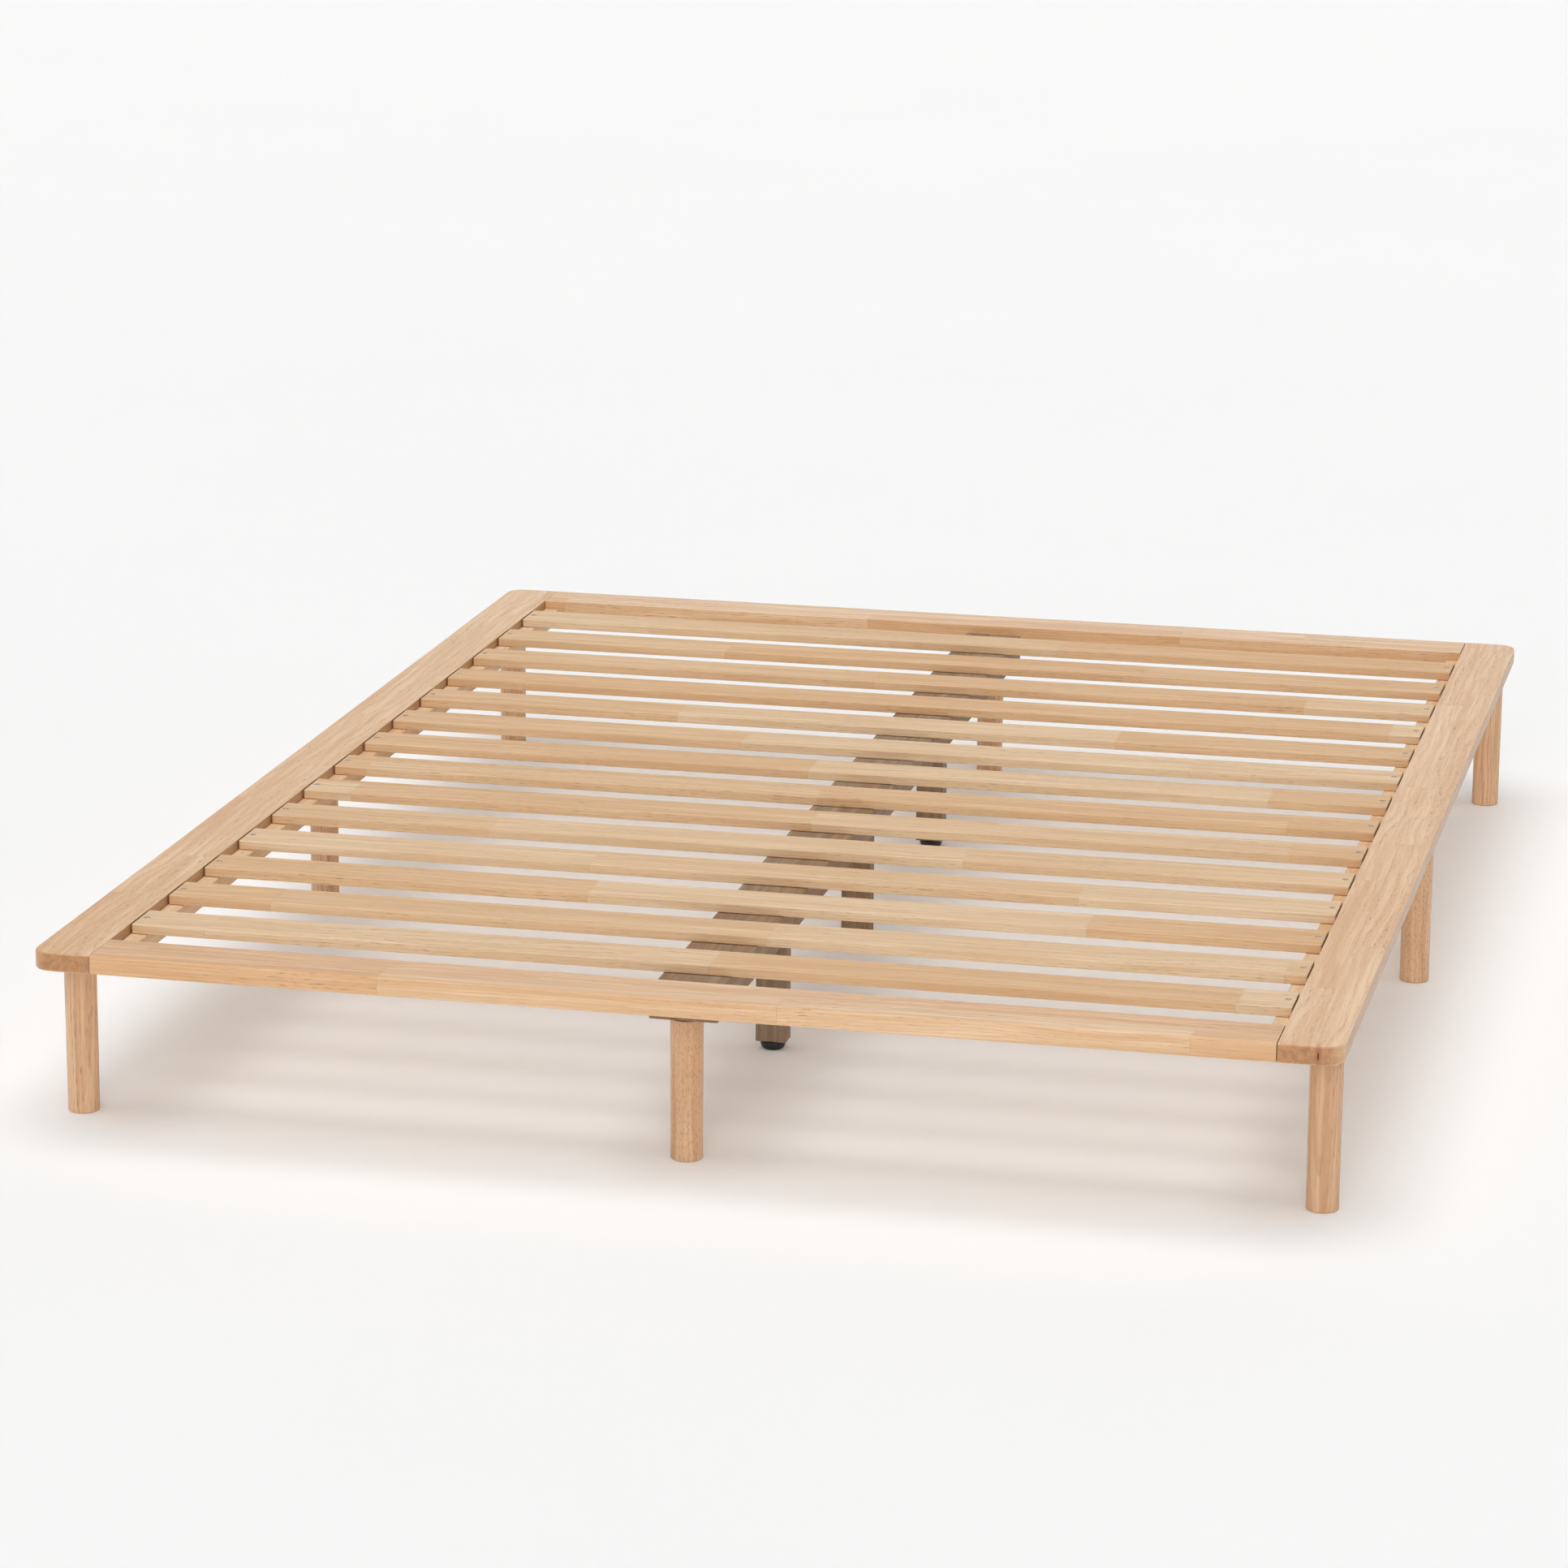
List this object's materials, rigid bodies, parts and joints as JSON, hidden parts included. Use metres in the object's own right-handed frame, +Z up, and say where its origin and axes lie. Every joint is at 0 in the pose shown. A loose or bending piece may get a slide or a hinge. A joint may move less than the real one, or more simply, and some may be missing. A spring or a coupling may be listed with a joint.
{
  "type": "bed frame",
  "caption": "Low wooden platform bed frame: flat board rails, slats, a centre beam with levelling feet, and round turned legs.",
  "frame": {"origin": "on the floor under the middle of the bed", "axes": "+Y towards the head end, +X to the right side seen from the foot, +Z up"},
  "size_m": [1.5494, 2.06, 0.221],
  "materials": {
    "rail_wood": "clear satin lacquer on light finger-jointed hardwood",
    "leg_wood": "clear satin lacquer on light turned hardwood",
    "slat_wood": "bare planed light wood",
    "beam_wood": "bare planed light hardwood",
    "zinc_steel": "zinc plated",
    "insert_brass": "turned brass",
    "black_plastic": "moulded black plastic"
  },
  "bodies": {
    "frame": {"beam_bracket_foot": "zinc_steel", "beam_bracket_head": "zinc_steel", "centre_beam": "beam_wood", "foot_rail": "rail_wood", "head_rail": "rail_wood", "joining_plate_foot_left": "zinc_steel", "joining_plate_foot_right": "zinc_steel", "joining_plate_head_left": "zinc_steel", "joining_plate_head_right": "zinc_steel", "leg_bolt_foot_centre": "zinc_steel", "leg_bolt_foot_left": "zinc_steel", "leg_bolt_foot_right": "zinc_steel", "leg_bolt_head_centre": "zinc_steel", "leg_bolt_head_left": "zinc_steel", "leg_bolt_head_right": "zinc_steel", "leg_bolt_side_left": "zinc_steel", "leg_bolt_side_right": "zinc_steel", "leg_foot_centre": "leg_wood", "leg_foot_left": "leg_wood", "leg_foot_right": "leg_wood", "leg_head_centre": "leg_wood", "leg_head_left": "leg_wood", "leg_head_right": "leg_wood", "leg_side_left": "leg_wood", "leg_side_right": "leg_wood", "levelling_insert_1": "insert_brass", "levelling_insert_2": "insert_brass", "levelling_insert_3": "insert_brass", "side_cleat_left": "slat_wood", "side_cleat_right": "slat_wood", "side_rail_left": "rail_wood", "side_rail_right": "rail_wood", "slat_01": "slat_wood", "slat_02": "slat_wood", "slat_03": "slat_wood", "slat_04": "slat_wood", "slat_05": "slat_wood", "slat_06": "slat_wood", "slat_07": "slat_wood", "slat_08": "slat_wood", "slat_09": "slat_wood", "slat_10": "slat_wood", "slat_11": "slat_wood", "slat_12": "slat_wood", "slat_13": "slat_wood", "slat_14": "slat_wood", "support_bolt_1": "zinc_steel", "support_bolt_2": "zinc_steel", "support_bolt_3": "zinc_steel", "support_leg_1": "beam_wood", "support_leg_2": "beam_wood", "support_leg_3": "beam_wood"},
    "levelling_pad_1": {"levelling_pad_1": "black_plastic"},
    "levelling_stem_1": {"levelling_stem_1": "zinc_steel"},
    "levelling_pad_2": {"levelling_pad_2": "black_plastic"},
    "levelling_stem_2": {"levelling_stem_2": "zinc_steel"},
    "levelling_pad_3": {"levelling_pad_3": "black_plastic"},
    "levelling_stem_3": {"levelling_stem_3": "zinc_steel"}
  },
  "joints": [
    {"name": "levelling_foot_1_travel", "type": "slide", "parent": "frame", "child": "levelling_pad_1", "axis": [0, 0, -1], "range_m": [0, 0.012]},
    {"name": "levelling_foot_1_turn", "type": "hinge", "parent": "levelling_pad_1", "child": "levelling_stem_1", "pos_m": [0, -0.49597, 0.02], "axis": [0, 0, -1], "range_deg": [0, 3456.1]},
    {"name": "levelling_foot_2_travel", "type": "slide", "parent": "frame", "child": "levelling_pad_2", "axis": [0, 0, -1], "range_m": [0, 0.012]},
    {"name": "levelling_foot_2_turn", "type": "hinge", "parent": "levelling_pad_2", "child": "levelling_stem_2", "pos_m": [0, 0, 0.02], "axis": [0, 0, -1], "range_deg": [0, 3456.1]},
    {"name": "levelling_foot_3_travel", "type": "slide", "parent": "frame", "child": "levelling_pad_3", "axis": [0, 0, -1], "range_m": [0, 0.012]},
    {"name": "levelling_foot_3_turn", "type": "hinge", "parent": "levelling_pad_3", "child": "levelling_stem_3", "pos_m": [0, 0.49597, 0.02], "axis": [0, 0, -1], "range_deg": [0, 3456.1]}
  ],
  "couplings": [
    {"joint": "levelling_foot_1_turn", "follows": "levelling_foot_1_travel", "rad_per_m": 5026.5},
    {"joint": "levelling_foot_2_turn", "follows": "levelling_foot_2_travel", "rad_per_m": 5026.5},
    {"joint": "levelling_foot_3_turn", "follows": "levelling_foot_3_travel", "rad_per_m": 5026.5}
  ]
}
